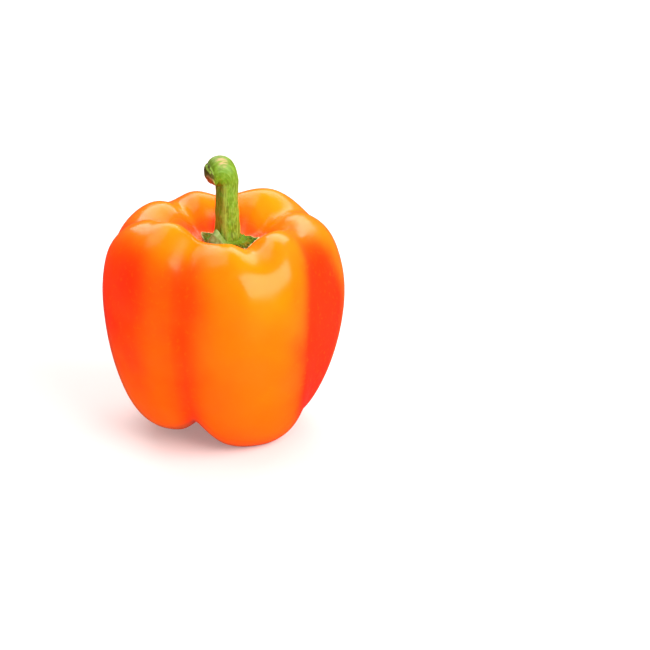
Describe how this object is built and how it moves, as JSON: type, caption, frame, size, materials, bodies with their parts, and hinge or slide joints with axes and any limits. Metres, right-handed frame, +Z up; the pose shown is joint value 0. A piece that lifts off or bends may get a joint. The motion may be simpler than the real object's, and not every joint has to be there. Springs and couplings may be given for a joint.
{
  "type": "bell pepper",
  "caption": "Blocky orange sweet pepper with lobed shoulders and deep grooves, a pointed green calyx and a short hooked stem, standing upright on its lobes.",
  "frame": {"origin": "middle of the whole pepper as seen from above, at the level it stands on", "axes": "+Z up through the stem, -Y towards the double front lobe, +X to its right"},
  "size_m": [0.0827, 0.0829, 0.0988],
  "materials": {
    "skin": "waxy gloss",
    "calyx_green": "matt",
    "stem_green": "satin, ridged"
  },
  "bodies": {
    "root": {"fruit": "skin", "calyx": "calyx_green", "stem": "stem_green"}
  },
  "joints": []
}
